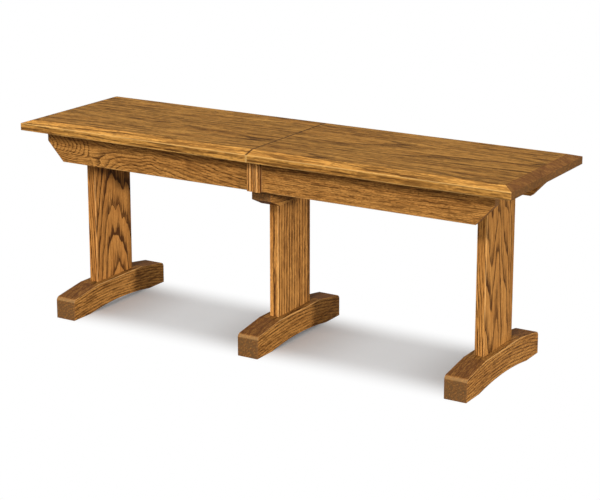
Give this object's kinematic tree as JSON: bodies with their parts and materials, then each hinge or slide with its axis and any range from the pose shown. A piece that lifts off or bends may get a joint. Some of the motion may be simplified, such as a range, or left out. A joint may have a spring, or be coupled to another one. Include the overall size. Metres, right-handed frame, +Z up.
{
  "type": "extending bench",
  "caption": "Oak monks bench on trestle feet; its top parts at a seam and both halves slide out on wooden slides geared by a rack and pinion.",
  "frame": {"origin": "on the floor under the seam of the top, midway between the front and the back", "axes": "+X along the bench, +Y to the back, +Z up"},
  "size_m": [1.2192, 0.3556, 0.4572],
  "materials": {
    "oak_top": "satin golden-brown stain over open oak grain",
    "oak_apron": "satin golden-brown stain over open oak grain",
    "oak_post": "satin golden-brown stain over figured oak",
    "oak_foot": "satin brown stain over open oak grain",
    "bare_oak": "bare planed oak",
    "maple": "waxed bare maple",
    "nylon": "natural moulded nylon",
    "steel": "zinc-plated steel",
    "brass": "satin brass"
  },
  "bodies": {
    "centre": {"bolster": "oak_apron", "foot_centre": "oak_foot", "foot_screws_centre": "steel", "guide_screws": "steel", "pinion_axle": "steel", "pinion_washer": "steel", "post_centre": "oak_post", "slide_guide_back": "maple", "slide_guide_front": "maple"},
    "left_half": {"apron_back_left": "oak_apron", "apron_front_left": "oak_apron", "cleat_screws_left": "steel", "end_cleat_left": "oak_apron", "foot_left": "oak_foot", "foot_screws_left": "steel", "glue_blocks_left": "bare_oak", "post_left": "oak_post", "post_screws_left": "steel", "rack_left": "nylon", "rack_screws_left": "steel", "seam_cap_back_left": "oak_apron", "seam_cap_front_left": "oak_apron", "slide_inner_left": "maple", "slide_outer_left": "maple", "slide_screws_left": "steel", "stop_pegs_left": "bare_oak", "top_left": "oak_top", "seam_pins": "brass", "lock_plate": "brass", "lock_screws": "steel"},
    "right_half": {"apron_back_right": "oak_apron", "apron_front_right": "oak_apron", "cleat_screws_right": "steel", "end_cleat_right": "oak_apron", "foot_right": "oak_foot", "foot_screws_right": "steel", "glue_blocks_right": "bare_oak", "post_right": "oak_post", "post_screws_right": "steel", "rack_right": "nylon", "rack_screws_right": "steel", "seam_cap_back_right": "oak_apron", "seam_cap_front_right": "oak_apron", "slide_inner_right": "maple", "slide_outer_right": "maple", "slide_screws_right": "steel", "stop_pegs_right": "bare_oak", "top_right": "oak_top", "lock_keeper": "brass", "keeper_screws": "steel"},
    "pinion": {"pinion": "nylon"},
    "lock_bolt": {"lock_bolt": "brass"}
  },
  "joints": [
    {"name": "left_slide", "type": "slide", "parent": "centre", "child": "left_half", "axis": [-1, 0, 0], "range_m": [0, 0.3048]},
    {"name": "right_slide", "type": "slide", "parent": "centre", "child": "right_half", "axis": [1, 0, 0], "range_m": [0, 0.3048]},
    {"name": "pinion_spin", "type": "hinge", "parent": "centre", "child": "pinion", "pos_m": [0, 0, 0.382], "axis": [0, 0, 1], "range_deg": [-831.62, 0]},
    {"name": "bolt_slide", "type": "slide", "parent": "left_half", "child": "lock_bolt", "axis": [1, 0, 0], "range_m": [0, 0.026]}
  ],
  "couplings": [
    {"joint": "right_slide", "follows": "left_slide", "ratio": 1},
    {"joint": "pinion_spin", "follows": "left_slide", "rad_per_m": -47.619}
  ]
}
